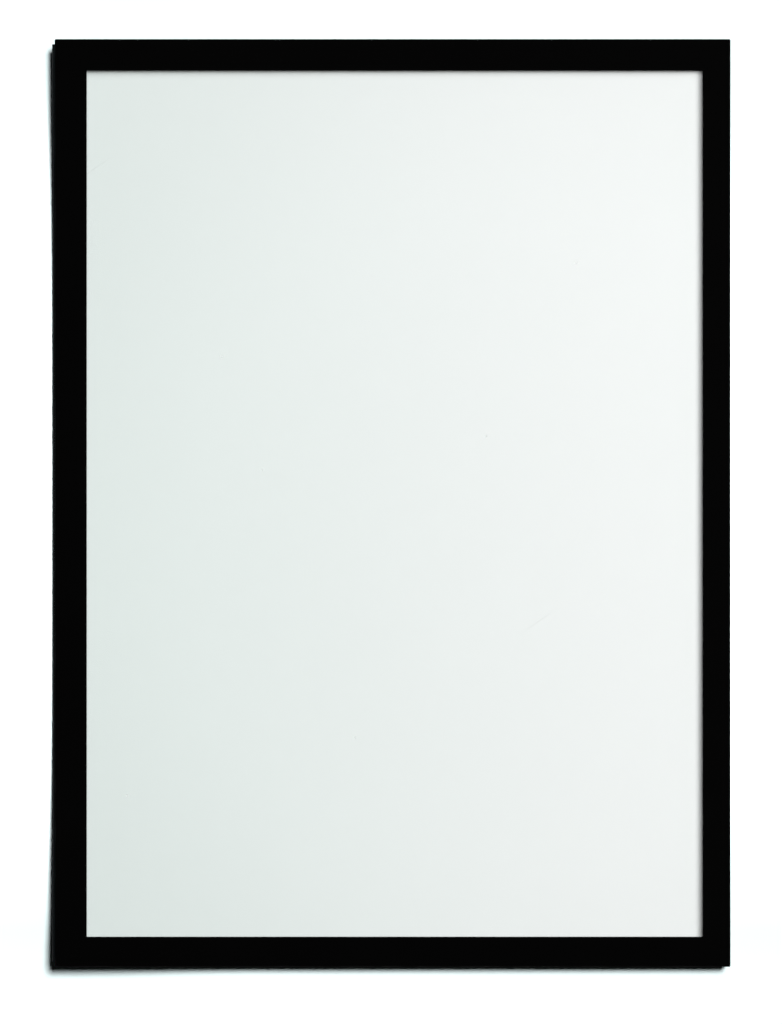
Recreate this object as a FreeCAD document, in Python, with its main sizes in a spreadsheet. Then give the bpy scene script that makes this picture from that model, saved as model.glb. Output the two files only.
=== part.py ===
import FreeCAD, Part
import Sketcher
import os

# A magnetic photo frame: two thin leaves joined by a film hinge at the left, with a card between them.
# Millimetres. Z is up, X is to the right and the front faces -Y. The origin is the centre of the back,
# on the plane that lies against the steel surface. A depth is a distance in front of that plane.

DRIVING = {
    # The card, a standard photo size, and the border around the window
    "card_width": 127.0,
    "card_height": 177.8,
    "card_overlap": 0.9,
    "border_left": 6.5,
    "border_right": 5.6,
    "border_top": 6.4,
    "border_bottom": 6.1,
    # The layers, from the back to the front
    "rear_magnet_thickness": 0.4,
    "bond_thickness": 0.1,
    "rear_sheet_thickness": 0.2,
    "card_clearance": 0.05,
    "card_thickness": 0.25,
    "window_film_thickness": 0.15,
    "film_tape_thickness": 0.05,
    "cover_magnet_thickness": 0.7,
    "facing_thickness": 0.15,
    # How far the strips and sheets stay inside the facing's edges, and the tapes inside their strips
    "edge_inset": 0.2,
    "tape_inset": 0.3,
    "strip_gap": 0.3,
    # The facing's die-cut corners and front edges
    "corner_radius": 0.3,
    "die_roll_radius": 0.05,
    # The film hinge
    "hinge_overhang": 0.6,
    "hinge_flange_width": 5.0,
    "hinge_end_inset": 1.0,
    "hinge_clearance": 0.3,
}

DERIVED = {
    "window_width": "card_width - 2 * card_overlap",
    "window_height": "card_height - 2 * card_overlap",
    "frame_width": "border_left + window_width + border_right",
    "frame_height": "border_bottom + window_height + border_top",
    "frame_left": "-frame_width / 2",
    "frame_bottom": "-frame_height / 2",
    "window_left": "frame_left + border_left",
    "window_right": "window_left + window_width",
    "window_bottom": "frame_bottom + border_bottom",
    "window_top": "window_bottom + window_height",
    "card_left": "window_left - card_overlap",
    "card_bottom": "window_bottom - card_overlap",
    # The depth at which each layer starts
    "rear_sheet_depth": "rear_magnet_thickness + bond_thickness",
    "card_depth": "rear_sheet_depth + rear_sheet_thickness + card_clearance",
    "window_film_depth": "card_depth + card_thickness + card_clearance",
    "film_tape_depth": "window_film_depth + window_film_thickness",
    "cover_magnet_depth": "film_tape_depth + film_tape_thickness",
    "border_bond_depth": "cover_magnet_depth + cover_magnet_thickness",
    "facing_depth": "border_bond_depth + bond_thickness",
    # The hinge's round spine: from the rear bond to the front one, standing out past the facing
    "spine_radius": "(facing_depth - rear_magnet_thickness) / 2",
    "spine_inner_radius": "spine_radius - bond_thickness",
    "spine_left": "frame_left - hinge_overhang + spine_radius",
    "spine_depth": "rear_magnet_thickness + spine_radius",
    "hinge_bottom": "frame_bottom + hinge_end_inset",
    "hinge_length": "frame_height - 2 * hinge_end_inset",
    # The outline that the rear sheet and the window film share with the strips
    "leaf_left": "spine_left + hinge_clearance",
    "leaf_right": "frame_left + frame_width - edge_inset",
    "leaf_bottom": "frame_bottom + edge_inset",
    "leaf_top": "frame_bottom + frame_height - edge_inset",
    "leaf_width": "leaf_right - leaf_left",
    "leaf_height": "leaf_top - leaf_bottom",
    # The strips: the side ones run the full height, the end ones fit between them
    "left_strip_width": "window_left - edge_inset - leaf_left",
    "right_strip_left": "window_right + edge_inset",
    "right_strip_width": "leaf_right - right_strip_left",
    "end_strip_left": "window_left - edge_inset + strip_gap",
    "end_strip_length": "right_strip_left - strip_gap - end_strip_left",
    "top_strip_bottom": "window_top + edge_inset",
    "top_strip_height": "leaf_top - top_strip_bottom",
    "bottom_strip_height": "window_bottom - edge_inset - leaf_bottom",
}

# Each strip's left edge, lower edge, width and height
STRIPS = {
    "left": ("leaf_left", "leaf_bottom", "left_strip_width", "leaf_height"),
    "right": ("right_strip_left", "leaf_bottom", "right_strip_width", "leaf_height"),
    "top": ("end_strip_left", "top_strip_bottom", "end_strip_length", "top_strip_height"),
    "bottom": ("end_strip_left", "leaf_bottom", "end_strip_length", "bottom_strip_height"),
}

# On the left bars the hinge's flanges take the tape's place
TAPED_SIDES = ("right", "top", "bottom")

doc = FreeCAD.newDocument("magnetic_photo_frame")
sheet = doc.addObject("Spreadsheet::Sheet", "sizes")


def fill_sheet():
    """Write the driving sizes, then those that follow from them, each cell with its alias."""
    cells = {**{name: str(value) for name, value in DRIVING.items()}}
    cells.update({name: "=" + formula for name, formula in DERIVED.items()})
    for row, (name, content) in enumerate(cells.items(), start=1):
        sheet.set(f"A{row}", name)
        sheet.set(f"B{row}", content)
        sheet.setAlias(f"B{row}", name)
    doc.recompute()


def new_body(name, left, depth, bottom):
    """A body whose own origin lies at left and bottom, at a depth in front of the back plane."""
    body = doc.addObject("PartDesign::Body", name)
    body.Label = name
    body.setExpression("Placement.Base.x", left)
    body.setExpression("Placement.Base.y", f"-({depth})")
    body.setExpression("Placement.Base.z", bottom)
    return body


def new_sketch(body, plane, name):
    """A sketch on one of the body's origin planes."""
    sketch = body.newObject("Sketcher::SketchObject", name)
    support = next(face for face in body.Origin.OriginFeatures if face.Role == plane)
    sketch.AttachmentSupport = [(support, "")]
    sketch.MapMode = "FlatFace"
    return sketch


def bind(sketch, name, formula, kind, *where):
    """Add a constraint that a formula of the sheet's sizes drives."""
    index = sketch.addConstraint(Sketcher.Constraint(kind, *where, sheet.get("border_left")))
    sketch.renameConstraint(index, name)
    sketch.setExpression(f"Constraints.{name}", formula)


def rectangle(sketch, name, width, height, left=None, bottom=None):
    """A rectangle of a width and height, from the sketch's origin or from left and bottom."""
    rough = sheet.get("border_left")
    points = [FreeCAD.Vector(*xy, 0) for xy in ((0, 0), (rough, 0), (rough, rough), (0, rough))]
    if left:
        points = [point + FreeCAD.Vector(rough, rough, 0) for point in points]
    first = sketch.GeometryCount
    for start, end in zip(points, points[1:] + points[:1]):
        sketch.addGeometry(Part.LineSegment(start, end), False)
    for side in range(4):
        sketch.addConstraint(
            Sketcher.Constraint("Coincident", first + side, 2, first + (side + 1) % 4, 1)
        )
        sketch.addConstraint(Sketcher.Constraint(("Horizontal", "Vertical")[side % 2], first + side))
    bind(sketch, name + "_width", width, "DistanceX", first, 1, first, 2)
    bind(sketch, name + "_height", height, "DistanceY", first + 1, 1, first + 1, 2)
    if left:
        bind(sketch, name + "_left", left, "DistanceX", -1, 1, first, 1)
        bind(sketch, name + "_bottom", bottom, "DistanceY", -1, 1, first, 1)
    else:
        sketch.addConstraint(Sketcher.Constraint("Coincident", first, 1, -1, 1))


def pad(body, sketch, length):
    """Pad a sketch along its normal, which points to the front on the XZ plane."""
    feature = body.newObject("PartDesign::Pad", "cut_sheet")
    feature.Profile = sketch
    feature.setExpression("Length", length)
    return feature


def add_plate(name, left, depth, bottom, width, height, thickness):
    """A sheet of one layer, cut square."""
    body = new_body(name, left, depth, bottom)
    sketch = new_sketch(body, "XZ_Plane", "outline")
    rectangle(sketch, "sheet", width, height)
    pad(body, sketch, thickness)


def add_strip(name, side, depth, thickness, inset="0"):
    """A strip along one side of the window, drawn in by an inset all round."""
    left, bottom, width, height = (f"sizes.{alias}" for alias in STRIPS[side])
    add_plate(
        name,
        f"{left} + {inset}",
        depth,
        f"{bottom} + {inset}",
        f"{width} - 2 * {inset}",
        f"{height} - 2 * {inset}",
        thickness,
    )


def add_tape(name, side, depth, thickness):
    """Double-sided tape between a strip and the sheet that it carries."""
    add_strip(name, side, depth, thickness, inset="sizes.tape_inset")


def add_leaf_sheet(name, depth, thickness):
    """A sheet with the outline that all the strips make together."""
    add_plate(
        name,
        "sizes.leaf_left",
        depth,
        "sizes.leaf_bottom",
        "sizes.leaf_width",
        "sizes.leaf_height",
        thickness,
    )


def add_insert_card():
    """The card, which lies behind the window with a small overlap all round."""
    add_plate(
        "insert_card",
        "sizes.card_left",
        "sizes.card_depth",
        "sizes.card_bottom",
        "sizes.card_width",
        "sizes.card_height",
        "sizes.card_thickness",
    )


def hinge_profile(sketch):
    """A C seen from above: two flanges, one in each leaf, joined by a half-round spine at the left."""
    outer = sheet.get("spine_radius")
    inner = sheet.get("spine_inner_radius")
    flange = sheet.get("hinge_flange_width")
    corners = (
        ((0, outer), (flange, outer)),
        ((flange, outer), (flange, inner)),
        ((flange, inner), (0, inner)),
        ((0, -inner), (flange, -inner)),
        ((flange, -inner), (flange, -outer)),
        ((flange, -outer), (0, -outer)),
    )
    for start, end in corners:
        line = Part.LineSegment(FreeCAD.Vector(*start, 0), FreeCAD.Vector(*end, 0))
        sketch.addGeometry(line, False)
    for radius in (outer, inner):
        rear = FreeCAD.Vector(0, radius, 0)
        middle = FreeCAD.Vector(-radius, 0, 0)
        front = FreeCAD.Vector(0, -radius, 0)
        sketch.addGeometry(Part.Arc(rear, middle, front), False)
    rear_outer, rear_end, rear_inner, front_inner, front_end, front_outer, outer_arc, inner_arc = range(8)
    for line in (rear_outer, rear_inner, front_inner, front_outer):
        sketch.addConstraint(Sketcher.Constraint("Horizontal", line))
    for line in (rear_end, front_end):
        sketch.addConstraint(Sketcher.Constraint("Vertical", line))
    for first, second in (
        (rear_outer, rear_end),
        (rear_end, rear_inner),
        (front_inner, front_end),
        (front_end, front_outer),
    ):
        sketch.addConstraint(Sketcher.Constraint("Coincident", first, 2, second, 1))
    for arc in (outer_arc, inner_arc):
        sketch.addConstraint(Sketcher.Constraint("Coincident", arc, 3, -1, 1))
    for arc, arc_end, line, line_end in (
        (outer_arc, 1, rear_outer, 1),
        (outer_arc, 2, front_outer, 2),
        (inner_arc, 1, rear_inner, 2),
        (inner_arc, 2, front_inner, 1),
    ):
        sketch.addConstraint(Sketcher.Constraint("Tangent", arc, arc_end, line, line_end))
    bind(sketch, "outer_radius", "sizes.spine_radius", "Radius", outer_arc)
    bind(sketch, "inner_radius", "sizes.spine_inner_radius", "Radius", inner_arc)
    bind(sketch, "rear_flange", "sizes.hinge_flange_width", "DistanceX", rear_outer, 1, rear_outer, 2)
    bind(sketch, "front_flange", "sizes.hinge_flange_width", "DistanceX", front_outer, 2, front_outer, 1)


def add_hinge_film():
    """The film that joins the leaves along the left edge."""
    body = new_body("hinge_film", "sizes.spine_left", "sizes.spine_depth", "sizes.hinge_bottom")
    sketch = new_sketch(body, "XY_Plane", "profile")
    hinge_profile(sketch)
    pad(body, sketch, "sizes.hinge_length")


def round_edges(body, base, name, radius, wanted):
    """Fillet the edges of the base feature that the wanted test picks."""
    doc.recompute()
    chosen = [f"Edge{n}" for n, edge in enumerate(base.Shape.Edges, start=1) if wanted(edge)]
    fillet = body.newObject("PartDesign::Fillet", name)
    fillet.Base = (base, chosen)
    fillet.setExpression("Radius", radius)
    return fillet


def add_front_border():
    """The black facing, die-cut in one piece around the window, with rounded front edges."""
    body = new_body("front_border", "sizes.frame_left", "sizes.facing_depth", "sizes.frame_bottom")
    sketch = new_sketch(body, "XZ_Plane", "outline")
    rectangle(sketch, "facing", "sizes.frame_width", "sizes.frame_height")
    rectangle(
        sketch,
        "window",
        "sizes.window_width",
        "sizes.window_height",
        "sizes.border_left",
        "sizes.border_bottom",
    )
    facing = pad(body, sketch, "sizes.facing_thickness")
    doc.recompute()
    front = facing.Shape.BoundBox.YMin
    outline = facing.Shape.BoundBox

    def at_outer_corner(edge):
        across = edge.BoundBox.YLength > sheet.get("facing_thickness") / 2
        return across and edge.BoundBox.XMin in (outline.XMin, outline.XMax)

    def on_front_face(edge):
        return abs(edge.BoundBox.YMax - front) < sheet.get("die_roll_radius") / 2

    corners = round_edges(body, facing, "corners", "sizes.corner_radius", at_outer_corner)
    round_edges(body, corners, "die_roll", "sizes.die_roll_radius", on_front_face)


def build():
    """Every piece, from the back to the front."""
    for side in STRIPS:
        add_strip(f"rear_magnet_{side}", side, "0", "sizes.rear_magnet_thickness")
    for side in TAPED_SIDES:
        add_tape(f"rear_tape_{side}", side, "sizes.rear_magnet_thickness", "sizes.bond_thickness")
    add_leaf_sheet("rear_sheet", "sizes.rear_sheet_depth", "sizes.rear_sheet_thickness")
    add_hinge_film()
    add_insert_card()
    add_leaf_sheet("window_film", "sizes.window_film_depth", "sizes.window_film_thickness")
    for side in STRIPS:
        add_tape(f"film_tape_{side}", side, "sizes.film_tape_depth", "sizes.film_tape_thickness")
    for side in STRIPS:
        add_strip(
            f"cover_magnet_{side}", side, "sizes.cover_magnet_depth", "sizes.cover_magnet_thickness"
        )
    for side in TAPED_SIDES:
        add_tape(f"border_tape_{side}", side, "sizes.border_bond_depth", "sizes.bond_thickness")
    add_front_border()
    doc.recompute()


def check():
    """Stop if any object failed or any piece is not one sound solid."""
    for thing in doc.Objects:
        if "Invalid" in thing.State or "Error" in thing.State:
            raise RuntimeError(f"{thing.Label} failed: {thing.State}")
    for body in doc.findObjects("PartDesign::Body"):
        shape = body.Shape
        if shape.isNull() or not shape.isValid() or len(shape.Solids) != 1:
            raise RuntimeError(f"{body.Label} is not one sound solid")


def write_parts():
    """One file for each piece."""
    os.makedirs("parts", exist_ok=True)
    for body in doc.findObjects("PartDesign::Body"):
        body.Shape.exportStep(f"parts/{body.Label}.step")


fill_sheet()
build()
check()
write_parts()
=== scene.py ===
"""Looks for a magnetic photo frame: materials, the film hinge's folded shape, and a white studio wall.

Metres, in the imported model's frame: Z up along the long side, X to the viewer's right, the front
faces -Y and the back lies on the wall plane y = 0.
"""

import math

import bmesh
import bpy
from mathutils import Matrix, Vector


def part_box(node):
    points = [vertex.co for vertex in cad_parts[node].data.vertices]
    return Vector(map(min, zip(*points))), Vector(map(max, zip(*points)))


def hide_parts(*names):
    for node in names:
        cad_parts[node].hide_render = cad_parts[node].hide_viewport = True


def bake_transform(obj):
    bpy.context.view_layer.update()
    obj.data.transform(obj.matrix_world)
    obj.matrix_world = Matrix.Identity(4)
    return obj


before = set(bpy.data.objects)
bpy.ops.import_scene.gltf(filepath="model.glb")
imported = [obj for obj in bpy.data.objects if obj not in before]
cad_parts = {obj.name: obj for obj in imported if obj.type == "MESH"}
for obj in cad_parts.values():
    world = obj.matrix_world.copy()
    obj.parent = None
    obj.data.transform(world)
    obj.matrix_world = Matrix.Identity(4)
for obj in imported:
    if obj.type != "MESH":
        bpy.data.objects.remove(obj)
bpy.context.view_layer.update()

MM = 0.001

# Sizes of the object
OUTER_HALF_WIDTH = 68.65 * MM
OUTER_HALF_HEIGHT = 94.25 * MM
WINDOW_LEFT, WINDOW_RIGHT = -62.15 * MM, 63.05 * MM
WINDOW_BOTTOM, WINDOW_TOP = -88.15 * MM, 87.85 * MM
HINGE_FILM_THICKNESS = 0.1 * MM
HINGE_FILM_FLATTENED = 0.25 * MM

# Sizes of the finishes' own marks
FACING_GRAIN = 0.55 * MM
SHEET_GRAIN = 0.9 * MM
FILM_LINE_LENGTH, FILM_LINE_WIDTH = 6 * MM, 0.12 * MM
MAGNET_LINE_LENGTH, MAGNET_LINE_WIDTH = 7 * MM, 0.16 * MM
FIBRE_SIZE = (1.6 * MM, 0.2 * MM, 0.16 * MM)
SCRATCH_SIZE = (22 * MM, 1 * MM, 0.25 * MM)
OUTER_RUB, WINDOW_RUB = 0.35 * MM, 0.2 * MM

# The camera: straight on, 4.922 pixels to the millimetre on the border's face
IMAGE_LONG_SIDE = 208.05 * MM
LENS, SENSOR = 135.0, 36.0
CAMERA_X, CAMERA_Z = -0.32 * MM, -1.83 * MM

# The stage: white sheets that reach far past the frame, and how bright the camera sees them
STAGE_REACH = 1.6
MIDDLE_CELL_SHARE = 0.16
FLOOR_LEVEL = -112 * MM
ROOM_DISTANCE, ROOM_REACH = 1.3, 0.75
WALL_EXPOSURE, WALL_END_EXPOSURE, WALL_MIRRORED = 3.2, 1.18, 1.0
FLOOR_EXPOSURE, FLOOR_MIRRORED = 6.0, 3.0
EXPOSURE_EVEN_TO, EXPOSURE_ENDS_FROM = 30 * MM, 88 * MM
WALL_LIT_TO, WALL_PLAIN_FROM = 0.26, 0.5
SHADOW_RED = 0.87

# How far the wall stands behind the frame: everywhere, at the left corners and along the lower edge
WALL_GAP = 0.1 * MM
CORNER_GAP, CORNER_REACH = 1.6 * MM, 40 * MM
LOWER_GAP, LOWER_REACH = 1.1 * MM, 12 * MM


# Node helpers


def feed(tree, made, inputs):
    """Sets a node's inputs to numbers, or links them to sockets."""
    for name, value in inputs.items():
        if isinstance(value, bpy.types.NodeSocket):
            tree.links.new(value, made.inputs[name])
        else:
            made.inputs[name].default_value = value


def node(tree, kind, inputs=None, **settings):
    """A shader node of that kind, with its settings and its inputs."""
    made = tree.nodes.new("ShaderNode" + kind)
    for name, value in settings.items():
        setattr(made, name, value)
    feed(tree, made, inputs or {})
    return made


def maths(tree, operation, a, b=0.0, clamp=False):
    return node(tree, "Math", {0: a, 1: b}, operation=operation, use_clamp=clamp).outputs[0]


def times(tree, a, b, clamp=False):
    return maths(tree, "MULTIPLY", a, b, clamp)


def mix_colour(tree, factor, a, b):
    made = node(tree, "Mix", {0: factor, 6: a, 7: b}, data_type="RGBA")
    return made.outputs[2]


def mix_number(tree, factor, a, b):
    return node(tree, "Mix", {0: factor, 2: a, 3: b}, data_type="FLOAT").outputs[0]


def ramp(tree, value, low, high):
    """0 at low, 1 at high, smooth between."""
    inputs = {"Value": value, "From Min": low, "From Max": high}
    return node(tree, "MapRange", inputs, interpolation_type="SMOOTHSTEP").outputs[0]


def scaled(tree, vector, size):
    """The vector as multiples of size, a length or three."""
    sizes = (size, size, size) if isinstance(size, float) else size
    inverse = [1.0 / s for s in sizes]
    return node(tree, "VectorMath", {0: vector, 1: inverse}, operation="MULTIPLY").outputs[0]


def turned_by(tree, vector, angle):
    """The vector turned in the plane of the face."""
    inputs = {"Vector": vector, "Angle": angle}
    return node(tree, "VectorRotate", inputs, rotation_type="Y_AXIS").outputs[0]


def colour(r, g, b):
    return (r, g, b, 1.0)


# Effects shared by several materials


def new_group(name, inputs, outputs):
    """A node group with its inputs as (label, kind, value), and the sockets to work between."""
    group = bpy.data.node_groups.new(name, "ShaderNodeTree")
    for label, kind, value in inputs:
        socket = group.interface.new_socket(label, in_out="INPUT", socket_type=kind)
        if value is not None:
            socket.default_value = value
    for label in outputs:
        group.interface.new_socket(label, in_out="OUTPUT", socket_type="NodeSocketFloat")
    return group, group.nodes.new("NodeGroupInput").outputs, group.nodes.new("NodeGroupOutput").inputs


def embossed_grain():
    """Pebbled emboss of a plastic film: rounded bumps of one size, broken up by a finer noise."""
    tree, given, out = new_group(
        "embossed_grain",
        [("Vector", "NodeSocketVector", None), ("Grain Size", "NodeSocketFloat", 0.0006)],
        ["Height", "Tone"],
    )
    scale = maths(tree, "DIVIDE", 1.0, given["Grain Size"])
    finer = times(tree, scale, 2.3)
    pebbles = node(tree, "TexVoronoi", {"Vector": given["Vector"], "Scale": scale})
    fine = node(tree, "TexNoise", {"Vector": given["Vector"], "Scale": finer, "Detail": 1.0})
    broad = node(tree, "TexNoise", {"Vector": given["Vector"], "Scale": 45.0, "Detail": 2.0})
    rounded = maths(tree, "SUBTRACT", 1.0, pebbles.outputs["Distance"])
    height = mix_number(tree, 0.35, rounded, fine.outputs["Fac"])
    tree.links.new(height, out["Height"])
    tree.links.new(broad.outputs["Fac"], out["Tone"])
    return tree


def rolled_lines():
    """Faint lines left by the rollers, long in one direction, over a fine mineral grain."""
    tree, given, out = new_group(
        "rolled_lines",
        [("Vector", "NodeSocketVector", None), ("Line Share", "NodeSocketFloat", 0.5)],
        ["Height", "Tone"],
    )
    lines = node(tree, "TexNoise", {
        "Vector": given["Vector"], "Scale": 1.0, "Detail": 5.0, "Roughness": 0.65, "Distortion": 0.3,
    })
    grains = node(tree, "TexNoise", {"Vector": given["Vector"], "Scale": 6.0, "Detail": 4.0})
    both = mix_number(tree, given["Line Share"], grains.outputs["Fac"], lines.outputs["Fac"])
    tree.links.new(both, out["Height"])
    tree.links.new(ramp(tree, lines.outputs["Fac"], 0.3, 0.7), out["Tone"])
    return tree


def edge_band():
    """1 along the edges of an upright rectangle on the face, 0 away from them, ragged by noise."""
    tree, given, out = new_group(
        "edge_band",
        [
            ("Vector", "NodeSocketVector", None),
            ("Centre X", "NodeSocketFloat", 0.0),
            ("Centre Z", "NodeSocketFloat", 0.0),
            ("Half Width", "NodeSocketFloat", 0.05),
            ("Half Height", "NodeSocketFloat", 0.05),
            ("Band", "NodeSocketFloat", 0.0002),
        ],
        ["Mask"],
    )
    parts = node(tree, "SeparateXYZ", {0: given["Vector"]}).outputs
    across = maths(tree, "ABSOLUTE", maths(tree, "SUBTRACT", parts["X"], given["Centre X"]))
    upright = maths(tree, "ABSOLUTE", maths(tree, "SUBTRACT", parts["Z"], given["Centre Z"]))
    from_side = maths(tree, "SUBTRACT", across, given["Half Width"])
    from_end = maths(tree, "SUBTRACT", upright, given["Half Height"])
    nearest = maths(tree, "ABSOLUTE", maths(tree, "MAXIMUM", from_side, from_end))
    ragged = node(tree, "TexNoise", {"Vector": given["Vector"], "Scale": 260.0, "Detail": 4.0})
    reach = times(tree, given["Band"], ramp(tree, ragged.outputs["Fac"], 0.38, 0.72))
    share = maths(tree, "DIVIDE", nearest, maths(tree, "ADD", reach, 1e-6))
    tree.links.new(maths(tree, "SUBTRACT", 1.0, share, clamp=True), out["Mask"])
    return tree


def dust_specks():
    """Sparse small specks: 1 inside a speck and 0 elsewhere. Density is the share of cells with one."""
    tree, given, out = new_group(
        "dust_specks",
        [
            ("Vector", "NodeSocketVector", None),
            ("Spacing", "NodeSocketFloat", 0.004),
            ("Density", "NodeSocketFloat", 0.1),
            ("Speck Size", "NodeSocketFloat", 0.05),
        ],
        ["Mask"],
    )
    scale = maths(tree, "DIVIDE", 1.0, given["Spacing"])
    wobble = node(tree, "TexNoise", {"Vector": given["Vector"], "Scale": 1500.0, "Detail": 0.0})
    cells = node(tree, "TexVoronoi", {"Vector": given["Vector"], "Scale": scale})
    chosen = node(tree, "SeparateColor", {0: cells.outputs["Color"]}).outputs
    kept = maths(tree, "LESS_THAN", chosen[0], given["Density"])
    size = times(tree, given["Speck Size"], maths(tree, "ADD", chosen[1], 0.4))
    reach = maths(tree, "ADD", size, times(tree, wobble.outputs["Fac"], 0.03))
    share = maths(tree, "DIVIDE", cells.outputs["Distance"], reach)
    inside = maths(tree, "SUBTRACT", 1.0, share, clamp=True)
    soft = times(tree, inside, 3.0, clamp=True)
    tree.links.new(times(tree, soft, kept), out["Mask"])
    return tree


def paper_fibre():
    """Short crossing fibres and a soft cloudiness, as in plain board."""
    tree, given, out = new_group("paper_fibre", [("Vector", "NodeSocketVector", None)], ["Height", "Cloud"])
    height = None
    for turn in (0.4, 1.3, 2.4):
        turned = turned_by(tree, given["Vector"], turn)
        stretched = scaled(tree, turned, FIBRE_SIZE)
        fibre = node(tree, "TexNoise", {"Vector": stretched, "Scale": 1.0, "Detail": 2.0}).outputs["Fac"]
        height = fibre if height is None else maths(tree, "MAXIMUM", height, fibre)
    cloud = node(tree, "TexNoise", {"Vector": given["Vector"], "Scale": 60.0, "Detail": 4.0})
    tree.links.new(height, out["Height"])
    tree.links.new(cloud.outputs["Fac"], out["Cloud"])
    return tree


GRAIN, ROLLED, EDGES, DUST, FIBRE = (
    embossed_grain(),
    rolled_lines(),
    edge_band(),
    dust_specks(),
    paper_fibre(),
)


def effect(tree, group, inputs):
    """A shared effect, placed in a material with its own values."""
    made = tree.nodes.new("ShaderNodeGroup")
    made.node_tree = group
    feed(tree, made, inputs)
    return made.outputs


def new_material(name):
    """A material with its tree, its Object coordinates and its output's surface socket."""
    made = bpy.data.materials.new(name)
    made.use_nodes = True
    tree = made.node_tree
    tree.nodes.clear()
    place = node(tree, "TexCoord").outputs["Object"]
    return made, tree, place, node(tree, "OutputMaterial").inputs["Surface"]


def bump(tree, height, strength, depth):
    inputs = {"Height": height, "Strength": strength, "Distance": depth}
    return node(tree, "Bump", inputs).outputs["Normal"]


# Materials


def border_edges(tree, place):
    """Mask of the facing's outer and window edges, where its black skin is rubbed."""
    outer = effect(tree, EDGES, {
        "Vector": place, "Half Width": OUTER_HALF_WIDTH, "Half Height": OUTER_HALF_HEIGHT,
        "Band": OUTER_RUB,
    })
    inner = effect(tree, EDGES, {
        "Vector": place,
        "Centre X": (WINDOW_LEFT + WINDOW_RIGHT) / 2, "Centre Z": (WINDOW_BOTTOM + WINDOW_TOP) / 2,
        "Half Width": (WINDOW_RIGHT - WINDOW_LEFT) / 2, "Half Height": (WINDOW_TOP - WINDOW_BOTTOM) / 2,
        "Band": WINDOW_RUB,
    })
    return maths(tree, "MAXIMUM", outer["Mask"], inner["Mask"])


def black_facing():
    made, tree, place, surface = new_material("black_embossed_facing")
    grain = effect(tree, GRAIN, {"Vector": place, "Grain Size": FACING_GRAIN})
    dust = effect(tree, DUST, {"Vector": place, "Spacing": 5 * MM, "Density": 0.05, "Speck Size": 0.03})
    worn = border_edges(tree, place)
    black = mix_colour(tree, grain["Tone"], colour(0.0003, 0.0003, 0.0003), colour(0.0007, 0.0007, 0.0007))
    rubbed = mix_colour(tree, times(tree, worn, 0.5), black, colour(0.008, 0.008, 0.009))
    dusty = mix_colour(tree, times(tree, dust["Mask"], 0.35), rubbed, colour(0.03, 0.03, 0.03))
    rough = maths(tree, "SUBTRACT", mix_number(tree, grain["Tone"], 0.5, 0.66), times(tree, worn, 0.2))
    skin = node(tree, "BsdfPrincipled", {
        "Base Color": dusty, "Roughness": rough, "Specular IOR Level": 0.01,
        "Sheen Weight": 0.01, "Sheen Roughness": 0.3,
        "Normal": bump(tree, grain["Height"], 0.35, 0.05 * MM),
    })
    tree.links.new(skin.outputs[0], surface)
    return made


def black_hinge_film():
    made, tree, place, surface = new_material("black_hinge_film")
    lines = effect(tree, ROLLED, {
        "Vector": scaled(tree, place, (FILM_LINE_WIDTH, FILM_LINE_WIDTH, FILM_LINE_LENGTH)),
        "Line Share": 0.7,
    })
    black = mix_colour(tree, lines["Tone"], colour(0.004, 0.006, 0.0065), colour(0.009, 0.012, 0.013))
    film = node(tree, "BsdfPrincipled", {
        "Base Color": black, "Roughness": mix_number(tree, lines["Tone"], 0.42, 0.56),
        "Specular IOR Level": 0.015, "Normal": bump(tree, lines["Height"], 0.25, 0.02 * MM),
    })
    tree.links.new(film.outputs[0], surface)
    return made


def flexible_magnet(name, line_sizes):
    """Ferrite-filled rubber, rolled in the strip's own direction."""
    made, tree, place, surface = new_material(name)
    lines = effect(tree, ROLLED, {"Vector": scaled(tree, place, line_sizes), "Line Share": 0.55})
    dust = effect(tree, DUST, {"Vector": place, "Spacing": 3 * MM, "Density": 0.12, "Speck Size": 0.04})
    brown = mix_colour(tree, lines["Tone"], colour(0.030, 0.025, 0.022), colour(0.052, 0.043, 0.038))
    chalky = mix_colour(tree, times(tree, dust["Mask"], 0.4), brown, colour(0.16, 0.14, 0.12))
    rubber = node(tree, "BsdfPrincipled", {
        "Base Color": chalky, "Roughness": mix_number(tree, lines["Tone"], 0.58, 0.74),
        "Specular IOR Level": 0.35, "Normal": bump(tree, lines["Height"], 0.4, 0.04 * MM),
    })
    tree.links.new(rubber.outputs[0], surface)
    return made


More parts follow.
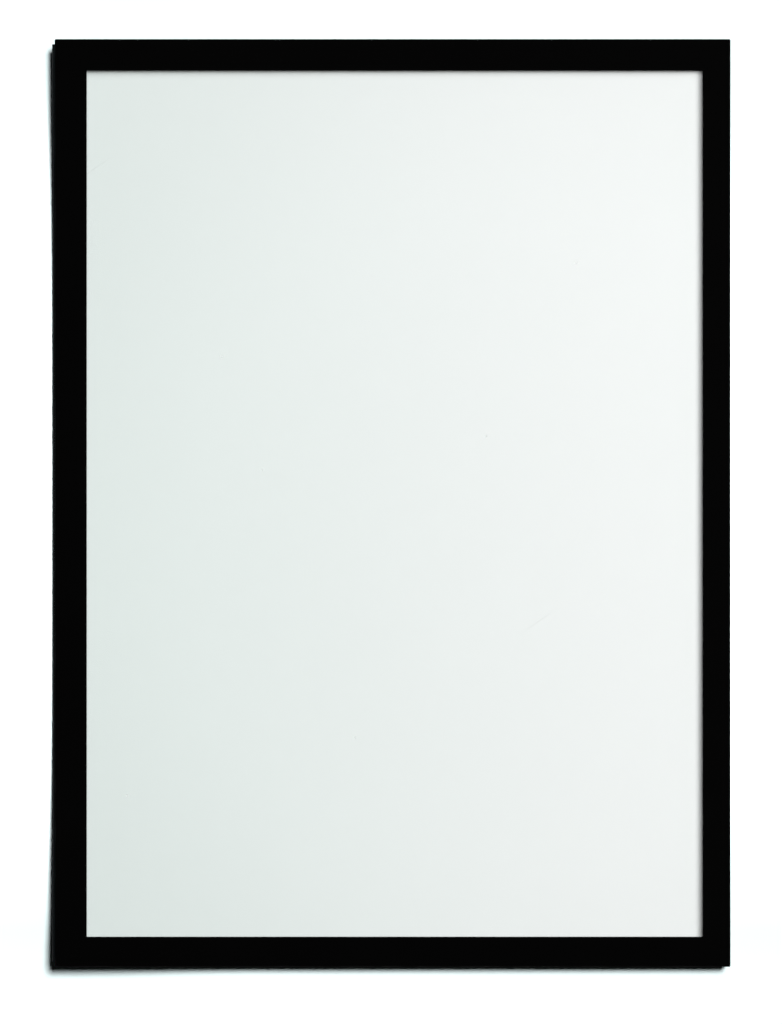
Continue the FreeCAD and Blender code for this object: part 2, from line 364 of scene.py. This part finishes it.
def clear_window_film():
    """Clear film: what is behind it shows, under a faint haze, a few specks and hairline scratches."""
    made, tree, place, surface = new_material("clear_window_film")
    dust = effect(tree, DUST, {"Vector": place, "Spacing": 9 * MM, "Density": 0.16, "Speck Size": 0.022})
    turned = turned_by(tree, place, 0.6)
    hairs = node(tree, "TexNoise", {
        "Vector": scaled(tree, turned, SCRATCH_SIZE), "Scale": 1.0, "Detail": 3.0,
    })
    scratch = ramp(tree, hairs.outputs["Fac"], 0.70, 0.76)
    haze = node(tree, "TexNoise", {"Vector": place, "Scale": 28.0, "Detail": 3.0})
    veil = mix_number(tree, haze.outputs["Fac"], 0.015, 0.045)
    veil = maths(tree, "ADD", veil, times(tree, scratch, 0.05))
    veil = maths(tree, "ADD", veil, times(tree, dust["Mask"], 0.15), clamp=True)
    open_film = node(tree, "BsdfTransparent", {"Color": colour(0.985, 0.995, 0.992)})
    milk = node(tree, "BsdfPrincipled", {
        "Base Color": colour(0.80, 0.83, 0.82), "Roughness": 0.5, "Specular IOR Level": 0.3,
    })
    body = node(tree, "MixShader", {0: veil, 1: open_film.outputs[0], 2: milk.outputs[0]})
    gloss = node(tree, "BsdfGlossy", {"Color": colour(1, 1, 1), "Roughness": 0.42})
    mirrored = node(tree, "Fresnel", {"IOR": 1.45}).outputs[0]
    film = node(tree, "MixShader", {0: mirrored, 1: body.outputs[0], 2: gloss.outputs[0]})
    tree.links.new(film.outputs[0], surface)
    return made


def blank_card():
    """Plain board with painted light: pale green-grey and darker at the left, near white at the right.

    Painted shade makes it a little darker towards the corners.
    """
    made, tree, place, surface = new_material("blank_card")
    fibre = effect(tree, FIBRE, {"Vector": place})
    parts = node(tree, "SeparateXYZ", {0: place}).outputs
    # painted light: paler and brighter towards the right, where the lamps light the card
    slant = maths(tree, "ADD", parts["X"], times(tree, parts["Z"], 0.08))
    painted_light_drift = ramp(tree, slant, -92 * MM, 60 * MM)
    tone_with_painted_light = mix_colour(tree, painted_light_drift, colour(0.775, 0.85, 0.822), colour(0.86, 0.872, 0.866))
    # painted shade: darker away from the best-lit spot, towards the corners
    middle = (24 * MM, 0, -9 * MM)
    away = node(tree, "VectorMath", {0: place, 1: middle}, operation="DISTANCE").outputs["Value"]
    painted_corner_shade = times(tree, ramp(tree, away, 60 * MM, 125 * MM), 0.058)
    tone_with_painted_shade = mix_colour(tree, painted_corner_shade, tone_with_painted_light, colour(0, 0, 0))
    cloudy = mix_colour(tree, times(tree, fibre["Cloud"], 0.05), tone_with_painted_shade, colour(0.70, 0.75, 0.74))
    board = node(tree, "BsdfPrincipled", {
        "Base Color": cloudy, "Roughness": 0.82, "Specular IOR Level": 0.2,
        "Normal": bump(tree, fibre["Height"], 0.12, 0.02 * MM),
    })
    tree.links.new(board.outputs[0], surface)
    return made


def white_backing():
    made, tree, place, surface = new_material("white_backing_sheet")
    grain = effect(tree, GRAIN, {"Vector": place, "Grain Size": SHEET_GRAIN})
    dust = effect(tree, DUST, {"Vector": place, "Spacing": 6 * MM, "Density": 0.15, "Speck Size": 0.03})
    white = mix_colour(tree, grain["Tone"], colour(0.80, 0.815, 0.81), colour(0.86, 0.87, 0.865))
    marked = mix_colour(tree, times(tree, dust["Mask"], 0.4), white, colour(0.45, 0.44, 0.42))
    sheet = node(tree, "BsdfPrincipled", {
        "Base Color": marked, "Roughness": mix_number(tree, grain["Tone"], 0.34, 0.46),
        "Specular IOR Level": 0.4, "Normal": bump(tree, grain["Height"], 0.12, 0.03 * MM),
    })
    tree.links.new(sheet.outputs[0], surface)
    return made


def milky_tape():
    """Clear double-sided tape: a thin milky layer with trapped bubbles."""
    made, tree, place, surface = new_material("milky_tape")
    bubbles = effect(tree, DUST, {"Vector": place, "Spacing": 2.5 * MM, "Density": 0.35, "Speck Size": 0.12})
    cloud = node(tree, "TexNoise", {"Vector": place, "Scale": 90.0, "Detail": 3.0}).outputs["Fac"]
    milk = mix_colour(tree, cloud, colour(0.66, 0.63, 0.54), colour(0.80, 0.78, 0.70))
    cover = maths(tree, "ADD", mix_number(tree, cloud, 0.30, 0.42), times(tree, bubbles["Mask"], 0.3))
    tape = node(tree, "BsdfPrincipled", {
        "Base Color": milk, "Roughness": mix_number(tree, cloud, 0.4, 0.6), "Alpha": cover,
        "Specular IOR Level": 0.4,
    })
    tree.links.new(tape.outputs[0], surface)
    return made


def dress(material, *names):
    """Gives CAD nodes their material."""
    for name in names:
        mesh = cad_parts[name].data
        mesh.materials.clear()
        mesh.materials.append(material)


def dress_cad_nodes():
    """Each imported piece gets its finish, and the clear film lets the light through to the card."""
    across, along = MAGNET_LINE_WIDTH, MAGNET_LINE_LENGTH
    level = flexible_magnet("flexible_magnet_level", (along, across, across))
    upright = flexible_magnet("flexible_magnet_upright", (across, across, along))
    for leaf in ("rear", "cover"):
        dress(level, leaf + "_magnet_top", leaf + "_magnet_bottom")
        dress(upright, leaf + "_magnet_left", leaf + "_magnet_right")
    dress(milky_tape(), *[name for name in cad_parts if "_tape_" in name])
    dress(black_facing(), "front_border")
    dress(clear_window_film(), "window_film")
    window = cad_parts["window_film"]
    window.visible_shadow = window.visible_diffuse = False
    dress(blank_card(), "insert_card")
    dress(white_backing(), "rear_sheet")


def new_piece(name, shape, material):
    """A smooth object at the origin, made from a bmesh."""
    mesh = bpy.data.meshes.new(name)
    shape.to_mesh(mesh)
    shape.free()
    for face in mesh.polygons:
        face.use_smooth = True
    mesh.materials.append(material)
    made = bpy.data.objects.new(name, mesh)
    bpy.context.scene.collection.objects.link(made)
    return made


# The film hinge


def hinge_section(low, high, steps):
    """Outline of the outer skin of the C-shaped film, a chain of vertices in the plane z = low.z."""
    radius = (high.y - low.y) / 2
    centre = Vector((low.x + radius, (low.y + high.y) / 2, low.z))
    chain = bmesh.new()
    start = chain.verts.new((high.x, high.y, low.z))
    flange = bmesh.ops.extrude_vert_indiv(chain, verts=[start])["verts"]
    bmesh.ops.translate(chain, verts=flange, vec=(centre.x - high.x, 0, 0))
    turned = bmesh.ops.spin(
        chain, geom=flange, cent=centre, axis=(0, 0, 1), angle=math.pi, steps=steps, use_merge=False
    )["geom_last"]
    last = [v for v in turned if isinstance(v, bmesh.types.BMVert)]
    tail = bmesh.ops.extrude_vert_indiv(chain, verts=last)["verts"]
    bmesh.ops.translate(chain, verts=tail, vec=(high.x - centre.x, 0, 0))
    return chain


def flatten_fold(shape, low, high):
    """Presses the round fold flatter towards mid-height, where it stands out least."""
    radius = (high.y - low.y) / 2
    for vert in shape.verts:
        roundness = max(low.x + radius - vert.co.x, 0.0) / radius
        halfway = 1 - (vert.co.z / high.z) ** 2
        vert.co.x += HINGE_FILM_FLATTENED * roundness * halfway


def bending_hinge():
    """The hinge film: two flanges inside the leaves and a half-round spine between them."""
    low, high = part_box("hinge_film")
    shape = hinge_section(low, high, steps=24)
    rise = bmesh.ops.extrude_edge_only(shape, edges=shape.edges[:])["geom"]
    upper = [v for v in rise if isinstance(v, bmesh.types.BMVert)]
    bmesh.ops.translate(shape, verts=upper, vec=(0, 0, high.z - low.z))
    upright = [e for e in shape.edges if e.verts[0].co.z != e.verts[1].co.z]
    bmesh.ops.subdivide_edges(shape, edges=upright, cuts=23, use_grid_fill=True)
    flatten_fold(shape, low, high)
    bmesh.ops.recalc_face_normals(shape, faces=shape.faces[:])
    bmesh.ops.solidify(shape, geom=shape.faces[:], thickness=HINGE_FILM_THICKNESS)
    piece = new_piece("folding_hinge_film", shape, black_hinge_film())
    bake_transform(piece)
    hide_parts("hinge_film")


# Studio


def backdrop_material(name, middle, ends, mirrored):
    """White, overexposed to the camera so that only shadows show, and open from behind.

    middle is its exposure behind the frame's middle, ends that above and below the frame, and mirrored is
    how bright reflections see it. Its tint, lost where the light is full, leaves the shadows greenish.
    """
    made, tree, place, surface = new_material(name)
    path = node(tree, "LightPath").outputs
    away = node(tree, "VectorMath", {0: place}, operation="LENGTH").outputs["Value"]
    upright = maths(tree, "ABSOLUTE", node(tree, "SeparateXYZ", {0: place}).outputs["Z"])
    share = ramp(tree, upright, EXPOSURE_EVEN_TO, EXPOSURE_ENDS_FROM)
    tinted = [colour(SHADOW_RED * value, value, value) for value in (middle, ends)]
    seen_paint = mix_colour(tree, share, *tinted)
    paint = mix_colour(tree, path["Is Camera Ray"], colour(mirrored, mirrored, mirrored), seen_paint)
    lit = node(tree, "BsdfDiffuse", {"Color": paint})
    first_look = maths(tree, "LESS_THAN", path["Diffuse Depth"], 0.5)
    white = node(tree, "Emission", {"Color": colour(1, 1, 1), "Strength": first_look})
    far = ramp(tree, away, WALL_LIT_TO, WALL_PLAIN_FROM)
    near = node(tree, "MixShader", {0: far, 1: lit.outputs[0], 2: white.outputs[0]})
    behind = node(tree, "NewGeometry").outputs["Backfacing"]
    clear = node(tree, "BsdfTransparent")
    both = node(tree, "MixShader", {0: behind, 1: near.outputs[0], 2: clear.outputs[0]})
    tree.links.new(both.outputs[0], surface)
    return made


def sheet_of(name, reach, cells, material, place):
    """A square stage sheet, its cells finer towards the middle, put in place by a function."""
    shape = bmesh.new()
    bmesh.ops.create_grid(shape, x_segments=cells, y_segments=cells, size=1.0)
    for vert in shape.verts:
        u, v = (MIDDLE_CELL_SHARE * c + (1 - MIDDLE_CELL_SHARE) * c**3 for c in vert.co[:2])
        vert.co = place(u * reach, v * reach)
    made = new_piece(name, shape, material)
    made.visible_diffuse = made.visible_shadow = False
    return made


def fade(distance, reach):
    """1 at no distance, 0 from reach on, smooth between."""
    share = min(max(1 - distance / reach, 0.0), 1.0)
    return share * share * (3 - 2 * share)


def wall_point(x, z):
    """The wall lies on the frame's back and falls away behind its left corners and lower edge."""
    gap = WALL_GAP + LOWER_GAP * fade(max(z + OUTER_HALF_HEIGHT, 0.0), LOWER_REACH)
    for corner_z in (-OUTER_HALF_HEIGHT, OUTER_HALF_HEIGHT):
        away = math.hypot(x + OUTER_HALF_WIDTH, (z - corner_z) * 0.8)
        gap += CORNER_GAP * fade(away, CORNER_REACH)
    return Vector((x, gap, z))


def studio_stage():
    """The white wall and floor. Returns the wall, which has its own lamp."""
    paint = backdrop_material("white_wall", WALL_EXPOSURE, WALL_END_EXPOSURE, WALL_MIRRORED)
    wall = sheet_of("white_wall", STAGE_REACH, 260, paint, wall_point)
    paint = backdrop_material("white_floor", FLOOR_EXPOSURE, FLOOR_EXPOSURE, FLOOR_MIRRORED)
    sheet_of("white_floor", STAGE_REACH, 60, paint, lambda x, y: Vector((x, -y, FLOOR_LEVEL)))
    return wall


def dark_room():
    """The unlit room behind the camera, which only reflections see."""
    made, tree, _, surface = new_material("dark_room")
    tree.links.new(node(tree, "Emission", {"Strength": 0.0}).outputs[0], surface)
    room = sheet_of("dark_room", ROOM_REACH, 4, made, lambda x, z: Vector((x, -ROOM_DISTANCE, z)))
    room.visible_camera = room.visible_transmission = False


def studio_world():
    """White to the camera and to what it sees reflected, and nearly dark to everything else."""
    world = bpy.data.worlds.new("studio")
    world.use_nodes = True
    tree = world.node_tree
    tree.nodes.clear()
    path = node(tree, "LightPath").outputs
    seen = maths(tree, "MAXIMUM", path["Is Camera Ray"], path["Is Glossy Ray"])
    seen = maths(tree, "MAXIMUM", seen, path["Is Transmission Ray"])
    first_look = maths(tree, "LESS_THAN", path["Diffuse Depth"], 0.5)
    seen = times(tree, seen, first_look)
    ambient = node(tree, "Background", {"Color": colour(0.95, 1.0, 0.99), "Strength": 0.004})
    white = node(tree, "Background", {"Color": colour(1, 1, 1), "Strength": 1.0})
    both = node(tree, "MixShader", {0: seen, 1: ambient.outputs[0], 2: white.outputs[0]})
    out = node(tree, "OutputWorld").inputs["Surface"]
    tree.links.new(both.outputs[0], out)
    bpy.context.scene.world = world


def lamp(name, kind, place, energy):
    """A lamp at that place, turned to the middle of the frame."""
    data = bpy.data.lights.new(name, kind)
    data.energy = energy
    made = bpy.data.objects.new(name, data)
    made.location = place
    made.rotation_euler = (-Vector(place)).to_track_quat("-Z", "Y").to_euler()
    made.visible_camera = False
    bpy.context.scene.collection.objects.link(made)
    return made


def sun(name, place, strength, degrees):
    made = lamp(name, "SUN", place, strength)
    made.data.angle = math.radians(degrees)
    return made


def softbox(name, place, watts, size):
    made = lamp(name, "AREA", place, watts)
    made.data.size = size
    return made


def choose_targets(light, wall, state):
    """Makes a lamp light the wall alone, with INCLUDE, or all but the wall, with EXCLUDE."""
    targets = bpy.data.collections.new(light.name + "_targets")
    targets.objects.link(wall)
    targets.collection_objects[0].light_linking.link_state = state
    light.light_linking.receiver_collection = targets


def studio_lamps(wall):
    """A broad window high on the right, a softbox on that side, one behind, and the wall's own lamp."""
    window = sun("window_light", (0.40, -1.0, 0.42), strength=2.61, degrees=60)
    right = softbox("right_softbox", (0.60, -0.60, 0.12), watts=2.7, size=0.35)
    softbox("back_softbox", (0.30, 1.02, 0.55), watts=18.0, size=0.8)
    wall_light = sun("wall_light", (0.364, -1.0, 0.424), strength=3.6, degrees=21)
    choose_targets(wall_light, wall, "INCLUDE")
    choose_targets(window, wall, "EXCLUDE")
    choose_targets(right, wall, "EXCLUDE")


def keep_rear_light_off_wall():
    """A real wall hides the frame's back from the rear softbox, so its light isn't bounced onto this one."""
    for name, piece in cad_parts.items():
        if name.startswith("rear_"):
            piece.visible_diffuse = False


def straight_on_camera():
    """Straight on, its distance set by the width of what it frames on the border's face."""
    data = bpy.data.cameras.new("camera")
    data.lens, data.sensor_width = LENS, SENSOR
    data.clip_start, data.clip_end = 0.05, 20.0
    made = bpy.data.objects.new("camera", data)
    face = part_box("front_border")[0].y
    distance = IMAGE_LONG_SIDE * LENS / SENSOR
    made.matrix_world = Matrix.Translation((CAMERA_X, face - distance, CAMERA_Z)) @ Matrix.Rotation(
        math.pi / 2, 4, "X"
    )
    bpy.context.scene.collection.objects.link(made)
    bpy.context.scene.camera = made


dress_cad_nodes()
bending_hinge()
white_wall = studio_stage()
dark_room()
studio_world()
studio_lamps(white_wall)
keep_rear_light_off_wall()
straight_on_camera()
bpy.context.scene.view_settings.view_transform = "Standard"
